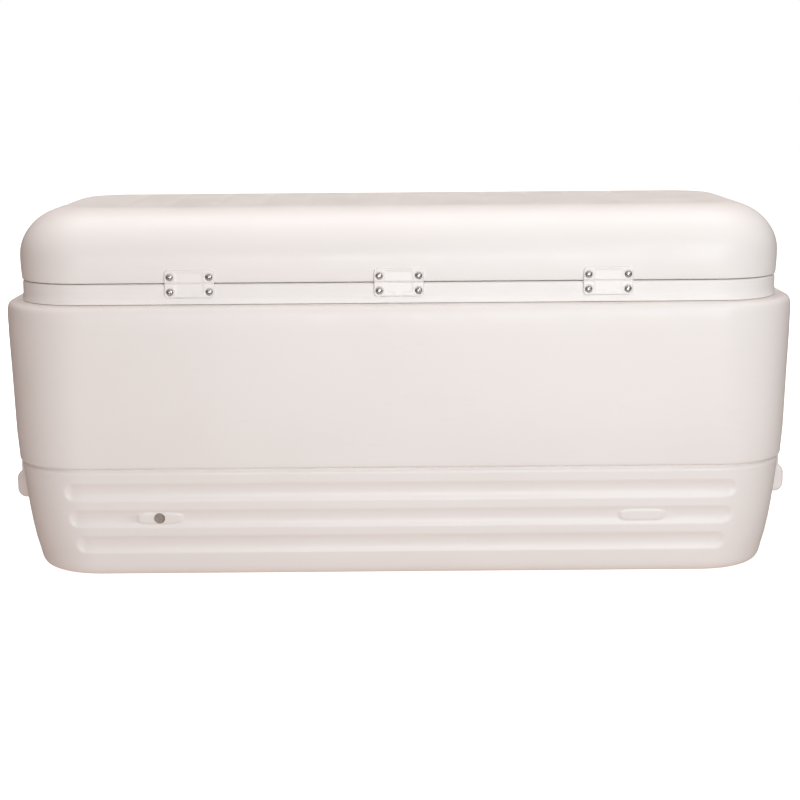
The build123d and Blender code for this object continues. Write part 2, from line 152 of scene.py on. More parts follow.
def cut(ob, cutters):
    """Subtracts each cutter from ob and removes it."""
    for c in cutters:
        for solver in ("MANIFOLD", "EXACT"):
            n0 = len(ob.data.polygons)
            m = ob.modifiers.new("cut", "BOOLEAN")
            m.operation = "DIFFERENCE"
            m.object = c
            m.solver = solver
            bpy.context.view_layer.update()
            dg = bpy.context.evaluated_depsgraph_get()
            me = bpy.data.meshes.new_from_object(ob.evaluated_get(dg))
            ob.modifiers.clear()
            if len(me.polygons) and len(me.polygons) != n0:
                old = ob.data
                ob.data = me
                bpy.data.meshes.remove(old)
                break
            bpy.data.meshes.remove(me)
            print("cut fell back from", solver, ob.name, c.name)
        bpy.data.objects.remove(c)
    return ob


class Ring:
    """Columns round a rounded rectangle, from the middle of the +X end anticlockwise."""

    def __init__(self, back, front, end, corner):
        cols = []
        half_end = [t for t in end if t >= 0]
        for t in half_end:
            cols.append(("E+", t))
        for g in corner:
            cols.append(("C0", g))
        for t in sorted(back, reverse=True):
            cols.append(("B", t))
        for g in corner:
            cols.append(("C1", g))
        for t in sorted(end, reverse=True):
            cols.append(("E-", t))
        for g in corner:
            cols.append(("C2", g))
        for t in sorted(front):
            cols.append(("F", t))
        for g in corner:
            cols.append(("C3", g))
        for t in sorted([t for t in end if t < 0]):
            cols.append(("E+", t))
        self.cols = cols
        self.n = len(cols)

    def at(self, hx, hy, r):
        """Positions, outward normals, and the length along each long wall from its middle."""
        out = np.zeros((self.n, 2))
        nrm = np.zeros((self.n, 2))
        s = np.full(self.n, 1e6)
        lx, ly = hx - r, hy - r
        for i, (k, t) in enumerate(self.cols):
            if k == "E+":
                out[i] = (hx, t * ly)
                nrm[i] = (1, 0)
            elif k == "E-":
                out[i] = (-hx, t * ly)
                nrm[i] = (-1, 0)
            elif k == "B":
                out[i] = (t * lx, hy)
                nrm[i] = (0, 1)
                s[i] = abs(t * lx)
            elif k == "F":
                out[i] = (t * lx, -hy)
                nrm[i] = (0, -1)
                s[i] = abs(t * lx)
            else:
                q = int(k[1])
                a = (q + t) * math.pi / 2
                cx = lx if q in (0, 3) else -lx
                cy = ly if q in (0, 1) else -ly
                nrm[i] = (math.cos(a), math.sin(a))
                out[i] = (cx + r * nrm[i][0], cy + r * nrm[i][1])
                back = (1 - t) if q in (0, 2) else t
                s[i] = lx + r * math.pi / 2 * back
        return out, nrm, s


def ring_mesh(name, ring, rows, cap_start=True, cap_end=True, shift=None, closed=False):
    """Skin through a list of (z, hx, hy, r) rings. shift(z, pos, nrm, s, row) may move a ring's points."""
    verts = []
    for j, (z, hx, hy, r) in enumerate(rows):
        p, n, s = ring.at(hx, hy, r)
        v = np.column_stack([p, np.full(ring.n, z)])
        if shift is not None:
            v = shift(v, n, s, j)
        verts.append(v)
    verts = np.concatenate(verts)
    faces = []
    n = ring.n
    m = len(rows)
    for j in range(m if closed else m - 1):
        a, b = j * n, ((j + 1) % m) * n
        for i in range(n):
            k = (i + 1) % n
            faces.append((a + i, a + k, b + k, b + i))
    if cap_start and not closed:
        faces.append(tuple(range(n - 1, -1, -1)))
    if cap_end and not closed:
        faces.append(tuple(range((m - 1) * n, m * n)))
    return new_mesh(name, verts, faces)


def frange(a, b, n):
    return [a + (b - a) * i / n for i in range(n + 1)]


def lathe(name, profile, seg, axis="Y", at=(0, 0, 0), radial=None):
    """Closed solid of revolution. profile is (distance along the axis, radius) from end to end, both radii 0."""
    verts, faces, rings = [], [], []
    for (d, r) in profile:
        if r < 1e-9:
            rings.append([len(verts)])
            verts.append((d, 0.0, 0.0))
        else:
            ids = []
            for i in range(seg):
                a = 2 * math.pi * i / seg
                rr = radial(a, r, d) if radial else r
                ids.append(len(verts))
                verts.append((d, rr * math.cos(a), rr * math.sin(a)))
            rings.append(ids)
    for a, b in zip(rings, rings[1:]):
        if len(a) == 1 and len(b) == 1:
            continue
        for i in range(seg):
            k = (i + 1) % seg
            if len(a) == 1:
                faces.append((a[0], b[k], b[i]))
            elif len(b) == 1:
                faces.append((a[i], a[k], b[0]))
            else:
                faces.append((a[i], a[k], b[k], b[i]))
    out = []
    for (d, u, v) in verts:
        if axis == "Y":
            p = (at[0] + u, at[1] + d, at[2] + v)
        elif axis == "-Y":
            p = (at[0] - u, at[1] - d, at[2] + v)
        elif axis == "X":
            p = (at[0] + d, at[1] + u, at[2] + v)
        elif axis == "-X":
            p = (at[0] - d, at[1] - u, at[2] + v)
        else:
            p = (at[0] + u, at[1] + v, at[2] + d)
        out.append(p)
    return tidy(new_mesh(name, out, faces))


def join(name, obs):
    verts, faces, base = [], [], 0
    for o in obs:
        me = o.data
        verts += [tuple(v.co) for v in me.vertices]
        faces += [tuple(base + i for i in p.vertices) for p in me.polygons]
        base += len(me.vertices)
        bpy.data.objects.remove(o)
        bpy.data.meshes.remove(me)
    return new_mesh(name, verts, faces, scale=1.0)


def smoothstep(x):
    x = np.clip(x, 0.0, 1.0)
    return x * x * (3 - 2 * x)


# ---------------------------------------------------------------- materials
def shader(name, rough=0.4, **sockets):
    m = bpy.data.materials.new(name)
    m.use_nodes = True
    nt = m.node_tree
    nt.nodes.clear()
    out = nt.nodes.new("ShaderNodeOutputMaterial")
    bs = nt.nodes.new("ShaderNodeBsdfPrincipled")
    nt.links.new(bs.outputs[0], out.inputs[0])
    bs.inputs["Roughness"].default_value = rough
    for k, v in sockets.items():
        bs.inputs[k.replace("_", " ")].default_value = v
    return m, nt, bs


def noise(nt, scale, detail=4.0, rough=0.5, vec=None, stretch=None):
    co = nt.nodes.new("ShaderNodeTexCoord")
    src = co.outputs["Object"]
    if stretch:
        mp = nt.nodes.new("ShaderNodeMapping")
        mp.inputs["Scale"].default_value = stretch
        nt.links.new(src, mp.inputs[0])
        src = mp.outputs[0]
    n = nt.nodes.new("ShaderNodeTexNoise")
    n.inputs["Scale"].default_value = scale
    n.inputs["Detail"].default_value = detail
    n.inputs["Roughness"].default_value = rough
    nt.links.new(src, n.inputs["Vector"])
    return n.outputs["Fac"]


def ramp(nt, fac, stops):
    r = nt.nodes.new("ShaderNodeValToRGB")
    el = r.color_ramp.elements
    while len(el) < len(stops):
        el.new(0.5)
    for e, (p, c) in zip(el, stops):
        e.position = p
        e.color = (*c, 1.0) if len(c) == 3 else c
    nt.links.new(fac, r.inputs[0])
    return r.outputs[0]


def mapr(nt, fac, a, b, lo=0.3, hi=0.7):
    m = nt.nodes.new("ShaderNodeMapRange")
    m.inputs["From Min"].default_value = lo
    m.inputs["From Max"].default_value = hi
    m.inputs["To Min"].default_value = a
    m.inputs["To Max"].default_value = b
    nt.links.new(fac, m.inputs["Value"])
    return m.outputs[0]


def bump(nt, height, dist, strength=1.0, below=None):
    b = nt.nodes.new("ShaderNodeBump")
    b.inputs["Distance"].default_value = dist
    b.inputs["Strength"].default_value = strength
    nt.links.new(height, b.inputs["Height"])
    if below is not None:
        nt.links.new(below, b.inputs["Normal"])
    return b.outputs[0]


def mix(nt, fac, a, b):
    m = nt.nodes.new("ShaderNodeMix")
    m.data_type = "RGBA"
    if isinstance(fac, float):
        m.inputs[0].default_value = fac
    else:
        nt.links.new(fac, m.inputs[0])
    for sock, v in ((m.inputs[6], a), (m.inputs[7], b)):
        if isinstance(v, tuple):
            sock.default_value = (*v, 1.0)
        else:
            nt.links.new(v, sock)
    return m.outputs[2]


def plastic(name, light, dark, scuff, rough=(0.34, 0.46), grain=0.00003, grain_scale=900.0, sub=0.0):
    """Moulded polyethylene: faint flow mottling, fine grain, light scuffs."""
    m, nt, bs = shader(name)
    bs.inputs["IOR"].default_value = 1.5
    bs.inputs["Specular IOR Level"].default_value = 0.42
    if sub:
        bs.inputs["Subsurface Weight"].default_value = sub
        bs.inputs["Subsurface Scale"].default_value = 0.004
        bs.inputs["Subsurface Radius"].default_value = (1.0, 0.7, 0.55)
    base = ramp(nt, noise(nt, 5.5, 5.0, 0.55), [(0.36, dark), (0.62, light)])
    marks = noise(nt, 34.0, 6.0, 0.72, stretch=(0.35, 0.35, 1.6))
    tone = mix(nt, mapr(nt, marks, 0.0, 0.5, 0.60, 0.84), base, scuff)
    nt.links.new(tone, bs.inputs["Base Color"])
    nt.links.new(mapr(nt, noise(nt, 21.0, 5.0, 0.6), rough[0], rough[1]), bs.inputs["Roughness"])
    low = bump(nt, noise(nt, 7.0, 2.0, 0.4), 0.0009, 0.35)
    fine = bump(nt, noise(nt, grain_scale, 3.0, 0.6), grain, 1.0, low)
    nt.links.new(fine, bs.inputs["Normal"])
    return m


WHITE = (0.868, 0.832, 0.808)
mat_shell = plastic("m_shell", (0.872, 0.834, 0.812), (0.858, 0.816, 0.792), (0.80, 0.75, 0.72))
mat_lid = plastic("m_lid", (0.882, 0.850, 0.830), (0.870, 0.836, 0.812), (0.82, 0.78, 0.75))
mat_liner = plastic("m_liner", (0.872, 0.838, 0.818), (0.862, 0.826, 0.804), (0.82, 0.775, 0.745), rough=(0.40, 0.48), grain=0.000015)
mat_hinge = plastic("m_hinge", (0.88, 0.852, 0.835), (0.868, 0.836, 0.815), (0.80, 0.76, 0.73), rough=(0.30, 0.42), grain=0.00002, grain_scale=1400.0)
mat_handle = plastic("m_handle", (0.862, 0.822, 0.80), (0.846, 0.802, 0.778), (0.78, 0.73, 0.70), rough=(0.36, 0.5), grain=0.00004)
mat_drain = plastic("m_drain", (0.86, 0.828, 0.806), (0.848, 0.81, 0.788), (0.78, 0.74, 0.71), rough=(0.3, 0.44))

m, nt, bs = shader("m_port", 0.6)
nt.links.new(ramp(nt, noise(nt, 420.0, 5.0, 0.6), [(0.35, (0.25, 0.20, 0.175)), (0.65, (0.37, 0.315, 0.28))]), bs.inputs["Base Color"])
nt.links.new(mapr(nt, noise(nt, 300.0), 0.5, 0.75), bs.inputs["Roughness"])
nt.links.new(bump(nt, noise(nt, 500.0, 4.0), 0.0002, 0.8), bs.inputs["Normal"])
mat_port = m

m, nt, bs = shader("m_foam", 0.9)
vor = nt.nodes.new("ShaderNodeTexVoronoi")
vor.inputs["Scale"].default_value = 700.0
co = nt.nodes.new("ShaderNodeTexCoord")
nt.links.new(co.outputs["Object"], vor.inputs["Vector"])
nt.links.new(ramp(nt, noise(nt, 60.0, 5.0), [(0.3, (0.72, 0.58, 0.33)), (0.7, (0.83, 0.72, 0.48))]), bs.inputs["Base Color"])
nt.links.new(bump(nt, vor.outputs["Distance"], 0.0006, 0.8), bs.inputs["Normal"])
nt.links.new(mapr(nt, noise(nt, 200.0), 0.8, 0.97), bs.inputs["Roughness"])
mat_foam = m

m, nt, bs = shader("m_steel", 0.3, Metallic=1.0)
nt.links.new(ramp(nt, noise(nt, 900.0, 5.0, 0.6), [(0.3, (0.42, 0.405, 0.395)), (0.7, (0.62, 0.61, 0.60))]), bs.inputs["Base Color"])
nt.links.new(mapr(nt, noise(nt, 1200.0, 4.0), 0.22, 0.42), bs.inputs["Roughness"])
nt.links.new(bump(nt, noise(nt, 2600.0, 3.0, 0.6, stretch=(1, 1, 0.2)), 0.00002, 0.7), bs.inputs["Normal"])
mat_steel = m

m, nt, bs = shader("m_seal", 0.7)
nt.links.new(ramp(nt, noise(nt, 500.0, 5.0), [(0.3, (0.028, 0.028, 0.029)), (0.7, (0.055, 0.054, 0.053))]), bs.inputs["Base Color"])
nt.links.new(mapr(nt, noise(nt, 260.0), 0.6, 0.85), bs.inputs["Roughness"])
nt.links.new(bump(nt, noise(nt, 900.0, 4.0), 0.00006, 0.8), bs.inputs["Normal"])
mat_seal = m


def paint(ob, mat):
    ob.data.materials.clear()
    ob.data.materials.append(mat)
    return ob


# ---------------------------------------------------------------- body skin
def uniq(vals, tol=1e-4):
    out = []
    for v in sorted(vals):
        if not out or v - out[-1] > tol:
            out.append(v)
    return out


L0 = 378.0                                     # straight half length near the channels
fine = frange(262.0, 321.0, 42)
tips = frange(366.0, L0, 8)
back = uniq([x / L0 for s in (1, -1) for x in [s * v for v in frange(0, 262, 18) + fine + frange(321, 366, 3) + tips]])
front = uniq([x / L0 for s in (1, -1) for x in [s * v for v in frange(0, 366, 26) + tips]])
end_cols = uniq(frange(-0.985, 0.985, 26))
# corner fractions, fine near the long wall where the channels end
near = [v / 138.0 for v in frange(1.6, 36.0, 22)]
far = [v / 138.0 for v in frange(41.0, 134.0, 15)]
fr = sorted(near + far)
# q 0 and q 2 run end wall to long wall, q 1 and q 3 the other way
class BodyRing(Ring):
    def __init__(self):
        cols = [("E+", t) for t in end_cols if t >= 0]
        cols += [("C0", 1 - g) for g in reversed(fr)]
        cols += [("B", t) for t in sorted(back, reverse=True)]
        cols += [("C1", g) for g in fr]
        cols += [("E-", t) for t in sorted(end_cols, reverse=True)]
        cols += [("C2", 1 - g) for g in reversed(fr)]
        cols += [("F", t) for t in sorted(front)]
        cols += [("C3", g) for g in fr]
        cols += [("E+", t) for t in end_cols if t < 0]
        self.cols, self.n = cols, len(cols)


body_ring = BodyRing()
zs = [lv[0] for lv in LEVELS if lv[0] < 30 or lv[0] > 126]
for (cz, _) in CHANNELS:
    zs += frange(cz - 14.0, cz + 14.0, 28)
zs += [28.0, 59.7, 93.2, 148, 160, 190, 228, 270, 302]
zs = uniq(zs, 0.3)
for lv in LEVELS:                              # the belt's and the edges' own heights stay exact
    if lv[0] < 30 or lv[0] > 126:
        zs = [z for z in zs if abs(z - lv[0]) > 0.25] + [lv[0]]
zs = sorted(zs)
rows = []
for z in zs:
    rows.append((z, *level(z)))
n_out = len(rows)
rows += [(336.3, 462.0, 202.0, 82), (336.3, 453.2, 192.7, 75), (335.9, 452.3, 191.8, 74.2),
         (335.0, 452.0, 191.5, 74), (333.3, 452.0, 191.5, 74), (290.0, 450.5, 190.0, 72),
         (140.0, 445.5, 184.5, 70), (60.0, 440.0, 174.0, 66), (14.0, 434.0, 164.0, 60),
         (6.0, 428.0, 158.0, 54)]

R_CH, D_CH = 17.8, 3.8
REACH = (1.5, 1.5, 2.5)


def body_shift(v, n, s, j):
    if j >= n_out:
        return v
    z = v[0, 2]
    d = np.zeros(len(s))
    for ci, (cz, half) in enumerate(CHANNELS):
        dz = z - cz
        if abs(dz) > 13.9:
            continue
        e = np.maximum(0.0, s - (half + REACH[ci] - 10.4))
        rho = np.sqrt(dz * dz + e * e)
        arc = np.sqrt(np.maximum(R_CH ** 2 - rho ** 2, 0)) - (R_CH - D_CH)
        k = 0.55                                # softly rounded rims
        dd = 0.5 * (arc + np.sqrt(arc * arc + k * k)) - 0.02
        dd = np.where(arc < -1.6, 0.0, np.maximum(dd, 0.0))
        if ci == 1:
            on_back = n[:, 1] > 0.99
            for sx in (1, -1):
                px = np.abs(v[:, 0] - sx * PORT_X)
                qx = np.maximum(px - (21.5 - 5.2), 0) * 0.45
                qz = max(abs(dz) - (7.2 - 5.2), 0)
                sdf = np.sqrt(qx ** 2 + qz ** 2) - 5.2 * 0.9
                m = smoothstep(0.5 - sdf / 2.6) * on_back
                dd = dd * (1 - m) + np.minimum(dd, 0.75) * m
        d = d + dd
    v = v.copy()
    v[:, 0] -= n[:, 0] * d
    v[:, 1] -= n[:, 1] * d
    return v


body_skin = ring_mesh("body_skin", body_ring, rows, shift=body_shift)


def pocket_cutter(name, sign, floor, y0, z0, z1, r, mouth=2.2, mouth_x=None, foot=2.0):
    """Flared cutter for a pocket in an end wall: rounded mouth, filleted floor."""
    cz, hz = (z0 + z1) / 2, (z1 - z0) / 2
    outline = []
    nseg = 8
    for q in range(4):
        cx = (y0 - r) * (1 if q in (0, 3) else -1)
        cc = (hz - r) * (1 if q in (0, 1) else -1)
        for i in range(nseg + 1):
            a = (q + i / nseg) * math.pi / 2
            outline.append((cx, cz + cc, math.cos(a), math.sin(a)))
    rings = []

    def ring_at(off, xf):
        pts = []
        for (cy, c2, ny, nz) in outline:
            y, z = cy + ny * (r + off), c2 + nz * (r + off)
            wall = mouth_x if mouth_x is not None else level(min(max(z, 0), 335))[0]
            R = min(mouth, 0.6 * max(wall - floor, 0.2))
            pts.append((sign * xf(wall, R), y, z))
        rings.append(pts)

    foot = min(foot, r - 1)
    for i in range(0, 5):
        a = math.pi / 2 * i / 4
        ring_at(-foot * (1 - math.sin(a)), lambda w, R, a=a: floor + min(foot, 0.5 * (w - floor)) * (1 - math.cos(a)))
    for deg in (0, 18, 36, 54, 70):
        a = math.radians(deg)
        pts = []
        for (cy, c2, ny, nz) in outline:
            y, z = cy + ny * r, c2 + nz * r
            wall = mouth_x if mouth_x is not None else level(min(max(z, 0), 335))[0]
            R = min(mouth, 0.6 * max(wall - floor, 0.2))
            off = R * (1 - math.cos(a))
            z2 = z + nz * off
            wall2 = mouth_x if mouth_x is not None else level(min(max(z2, 0), 335))[0]
            pts.append((sign * (wall2 - R + R * math.sin(a)), y + ny * off, z2))
        rings.append(pts)
    pts = []
    for (cy, c2, ny, nz) in outline:
        y, z = cy + ny * r, c2 + nz * r
        wall = mouth_x if mouth_x is not None else level(min(max(z, 0), 335))[0]
        R = min(mouth, 0.6 * max(wall - floor, 0.2))
        a = math.radians(70)
        off = R * (1 - math.cos(a)) + 3.0
        z2 = z + nz * off
        pts.append((sign * (wall + 4.0), y + ny * off, z2))
    rings.append(pts)
    pts = [(sign * 510.0, p[1], p[2]) for p in rings[-1]]
    rings.append(pts)
    verts = [p for ringp in rings for p in ringp]
    n = len(outline)
    faces = []
    for j in range(len(rings) - 1):
        for i in range(n):
            k = (i + 1) % n
            faces.append((j * n + i, j * n + k, (j + 1) * n + k, (j + 1) * n + i))
    faces.append(tuple(range(n - 1, -1, -1)))
    faces.append(tuple(range((len(rings) - 1) * n, len(rings) * n)))
    return tidy(new_mesh(name, verts, faces))


def rod(name, r, a, b, axis, at, seg=48):
    return lathe(name, [(a, 0), (a, r), (b, r), (b, 0)], seg, axis, at)


port_y = wall_y(PORT_Z)
port_cut = lathe("port_cut", [(-12, 0), (-12, PORT_R), (-1.35, PORT_R), (-0.95, PORT_R + 0.08), (-0.65, PORT_R + 0.35),
                              (-0.5, PORT_R + 0.8), (5, PORT_R + 0.9), (5, 0)], 56, "Y", (PORT_X, port_y, PORT_Z))
tidy(body_skin)
cutters = [port_cut]
for sg in (1, -1):
    cutters.append(pocket_cutter("recess%d" % sg, sg, 459.5, 93.0, 64.0, 238.0, 12.0))
    cutters.append(pocket_cutter("finger%d" % sg, sg, 451.0, 60.0, 68.0, 124.0, 14.0, mouth=3.0, mouth_x=459.6, foot=3.0))
cutters.append(pocket_cutter("drainp", 1, 449.0, 22.0, 14.0, 54.0, 10.0))
cutters.append(rod("bore", 8.3, 420, 470, "X", (0, 0, 34.0)))
cut(body_skin, cutters)
tidy(body_skin, 2e-6)
smooth(body_skin, 40)
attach(body_skin, "base")
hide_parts("body_shell")
paint(body_skin, mat_shell)

# ---------------------------------------------------------------- tub and rim
plain = Ring(uniq(frange(-1, 1, 60)), uniq(frange(-1, 1, 60)), uniq(frange(-1, 1, 18)), [i / 14 for i in range(1, 14)])


def neck(off):
    return (458.4 - off, 199.5 - off, 80.0 - off)


tub_rows = [(18.0, 414, 154, 40), (26.0, 422, 162, 48), (60.0, 428.0, 168.0, 52.0), (357.8, 440.5, 180.5, 62.5),
            (358.6, 441.5, 181.5, 63), (358.6, 454.6, 195.5, 76.0), (357.6, 455.3, 196.3, 76.8), (337.6, 455.3, 196.3, 76.8),
            (336.7, 455.8, 196.9, 77.4)]
tub_rows += [(z, *neck(o)) for (z, o) in [(336.6, 1.2), (336.75, 0.45), (337.3, 0.05), (338.2, 0.0), (342.6, 0.0),
                                            (343.6, 0.08), (344.6, 0.26), (345.6, 0.44), (346.8, 0.5), (350.0, 0.5), (355.0, 0.5),
                                            (357.8, 0.52), (358.7, 0.6), (359.5, 0.82), (360.2, 1.25), (360.75, 1.85), (361.1, 2.7), (361.2, 3.8)]]
tub_rows += [(361.2, 447.0, 187.0, 68.0), (361.2, 441.6, 181.6, 63.4), (360.9, 440.2, 180.2, 62.2), (360.2, 439.1, 179.1, 61.2),
             (359.0, 438.3, 178.3, 60.4), (357.0, 437.9, 177.9, 60.0)]
for t in frange(0, 1, 6)[1:]:
    tub_rows.append((357.0 + (44.0 - 357.0) * t, 437.9 + (424.6 - 437.9) * t, 177.9 + (164.6 - 177.9) * t, 60 - 9.5 * t))
for deg in (15, 30, 45, 60, 75, 90):
    a = math.radians(deg)
    tub_rows.append((43.0 - 14.0 * math.sin(a), 424.5 - 14.0 * (1 - math.cos(a)), 164.5 - 14.0 * (1 - math.cos(a)), 50.5 - 11.0 * (1 - math.cos(a))))
tub_rows += [(29.0, 404.0, 144.0, 34.0)]
liner_skin = ring_mesh("liner_skin", plain, tub_rows)
tidy(liner_skin)


def box_cutter(name, x0, x1, y0, y1, z0, z1, r, foot, top_flare=1.6):
    cx, cy, hx, hy = (x0 + x1) / 2, (y0 + y1) / 2, (x1 - x0) / 2, (y1 - y0) / 2
    rg = Ring([-1, 1], [-1, 1], [-1, 1], [i / 8 for i in range(1, 8)])
    rows2 = []
    for deg in (0, 22, 45, 67, 90):
        a = math.radians(deg)
        o = foot * (1 - math.sin(a))
        rows2.append((z0 + foot * (1 - math.cos(a)), hx - o, hy - o, max(r - o, 0.6)))
    rows2.append((z1 - 0.4, hx, hy, r))
    for deg in (30, 60, 80):
        a = math.radians(deg)
        o = top_flare * (1 - math.cos(a))
        rows2.append((z1 - 0.4 - top_flare + top_flare * (1 + math.sin(a)) * 1.0 - top_flare * 0.0 - 0.0, hx + o, hy + o, r + o))
    rows2 = [q for q in rows2[:6]]
    rows2.append((z1 + 60, hx, hy, r))
    ob = ring_mesh(name, rg, rows2)
    for v in ob.data.vertices:
        v.co.x += cx * MM
        v.co.y += cy * MM
    return tidy(ob)


cut(liner_skin, [box_cutter("sump", 374.5, 422.3, -23.0, 23.0, 21.0, 45.0, 6.0, 3.0),
                 rod("bore2", 8.3, 405, 445, "X", (0, 0, 34.0))])
tidy(liner_skin, 2e-6)
smooth(liner_skin, 40)
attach(liner_skin, "base")
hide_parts("inner_liner")
paint(liner_skin, mat_liner)

# ---------------------------------------------------------------- lid
NB = 210
lid_ring = Ring(uniq(frange(-1, 1, NB)), uniq(frange(-1, 1, NB)), uniq(frange(-1, 1, 22)), [i / 16 for i in range(1, 16)])
LID_AX, LID_AY, LID_B = 56.5, 80.0, LID_TOP - Z_WIDE


def lid_rows(off, offtop, angles):
    out = []
    for deg in angles:
        a = math.radians(deg)
        i = 1 - math.cos(a)
        out.append((Z_WIDE + (LID_B - offtop) * math.sin(a), 459.9 - off - LID_AX * i, 201.5 - off - LID_AY * i, 82 - 40 * i))
    return out


lower = [(363.6, 455.4, 196.5, 77.0), (362.5, 455.8, 196.9, 77.4), (362.1, 456.7, 197.8, 78.2), (362.12, 457.5, 198.6, 79.0), (362.5, 458.2, 199.25, 79.6),
         (363.3, 458.55, 199.6, 80.0), (365.5, 458.8, 199.9, 80.2), (372.0, 459.3, 200.7, 81.0), (380.0, 459.7, 201.2, 81.6), (386.0, 459.87, 201.45, 82.0)]
inner_rows = [(Z_WIDE + (LID_B - 3) * math.sin(math.radians(a)), 456.9 - LID_AX * (1 - math.cos(math.radians(a))),
               198.5 - LID_AY * (1 - math.cos(math.radians(a))), 82 - 40 * (1 - math.cos(math.radians(a))))
              for a in (90, 75, 60, 45, 30, 15, 0)]
inner_rows += [(372.0, 456.3, 197.6, 79)]
outer_rows = lower + lid_rows(0, 0, [0, 7, 14, 21, 28, 35, 42, 49, 56, 63, 70, 76, 82, 87, 90])
all_rows = inner_rows + outer_rows


def crown(x, y):
    """Height of the lid's top relative to its flat level: shallow transverse grooves; the crown term is multiplied by
    zero and adds nothing.
    """
    u = np.clip(np.abs(y) / 121.5, 0, 1)
    w = np.clip(np.abs(x) / 404.0, 0, 1)
    fade = smoothstep((1 - u) / 0.25) * smoothstep((1 - w) / 0.1)
    h = -0.25 * fade * 0
    k = np.round(x / 56.0)
    dx = np.abs(x - 56.0 * k)
    inside = (np.abs(k) <= 6)
    e = np.maximum(np.abs(y) - 100.0, 0)
    rho = np.sqrt(dx ** 2 + e ** 2)
    g = 0.5 * (1 + np.cos(np.pi * np.clip(rho / 9.0, 0, 1)))
    return h - 1.25 * g * inside


def lid_mesh():
    ring = lid_ring
    n = ring.n
    verts = []
    for (z, hx, hy, r) in all_rows:
        p, nn, s = ring.at(hx, hy, r)
        verts.append(np.column_stack([p, np.full(n, z)]))
    m = len(all_rows)
    verts = np.concatenate(verts)
    faces = []
    for j in range(m - 1):
        for i in range(n):
            k = (i + 1) % n
            faces.append((j * n + i, j * n + k, (j + 1) * n + k, (j + 1) * n + i))
    faces.append(tuple(range(n - 1, -1, -1)))             # inner ceiling
    # mapped grid on top: split the ring at the middle of each corner
    top0 = (m - 1) * n
    kinds = ring.cols
    mid = [i for i, (k, t) in enumerate(kinds) if k[0] == "C" and abs(t - 0.5) < 1e-6]
    c0, c1, c2, c3 = mid                                   # (+,+) (-,+) (-,-) (+,-)
    side_b = list(range(c0, c1 + 1))                       # back, +X to -X
    side_l = list(range(c1, c2 + 1))                       # -X end, +Y to -Y
    side_f = list(range(c2, c3 + 1))                       # front, -X to +X
    side_r = list(range(c3, n)) + list(range(0, c0 + 1))   # +X end, -Y to +Y
    nu, nv = len(side_b) - 1, len(side_l) - 1
    assert len(side_f) == nu + 1 and len(side_r) == nv + 1
    P = verts[top0:top0 + n, :2]
    B = P[side_b]
    F = P[side_f][::-1]
    Lf = P[side_l]
    Rt = P[side_r][::-1]
    grid = np.zeros((nu + 1, nv + 1), int)
    extra = []
    for i in range(nu + 1):
        u = i / nu
        for j in range(nv + 1):
            v = j / nv
            if j == 0:
                grid[i, j] = top0 + side_b[i]
            elif j == nv:
                grid[i, j] = top0 + side_f[::-1][i]
            elif i == 0:
                grid[i, j] = top0 + side_r[::-1][j]
            elif i == nu:
                grid[i, j] = top0 + side_l[j]
            else:
                q = ((1 - v) * B[i] + v * F[i] + (1 - u) * Rt[j] + u * Lf[j]
                     - ((1 - u) * (1 - v) * B[0] + u * (1 - v) * B[nu] + (1 - u) * v * F[0] + u * v * F[nu]))
                grid[i, j] = len(verts) + len(extra)
                extra.append((q[0], q[1], LID_TOP))
    extra = np.array(extra)
    extra[:, 2] += crown(extra[:, 0], extra[:, 1])
    verts = np.concatenate([verts, extra])
    for i in range(nu):
        for j in range(nv):
            faces.append((grid[i, j], grid[i + 1, j], grid[i + 1, j + 1], grid[i, j + 1]))
    return new_mesh("lid_skin", verts, faces)


lid_skin = lid_mesh()
tidy(lid_skin)
smooth(lid_skin, 40)
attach(lid_skin, "lid")
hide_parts("lid_shell")
paint(lid_skin, mat_lid)

# underside of the lid: pan and the shallow plug that enters the tub
ll = []
ll += [(364.7, 453.9, 195.2, 77.9), (364.6, 454.7, 196.0, 78.4), (363.4, 455.0, 196.25, 78.6), (362.6, 454.95, 196.2, 78.6), (362.15, 454.4, 195.6, 78.2),
       (362.1, 453.2, 194.4, 77.4), (362.1, 437.0, 177.0, 61.0), (362.0, 432.6, 172.6, 56.6), (361.4, 431.2, 171.2, 55.2), (360.2, 430.5, 170.5, 54.2), (358.0, 430.1, 170.1, 54.0),
       (355.0, 429.2, 169.2, 53.2), (352.6, 427.6, 167.6, 51.6), (350.9, 425.2, 165.2, 49.4), (350.0, 421.8, 161.8, 46.4), (350.0, 400, 140, 40)]
ll += [(350.0, 398.0, 138.0, 38), (350.2, 396.6, 136.6, 37), (351.2, 395.4, 135.4, 36), (351.6, 393.8, 133.8, 35), (351.7, 380, 120, 30)]
lid_pan = ring_mesh("lid_underside", plain, ll[::-1])
tidy(lid_pan)
smooth(lid_pan, 40)
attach(lid_pan, "lid")
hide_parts("lid_liner")
paint(lid_pan, mat_liner)


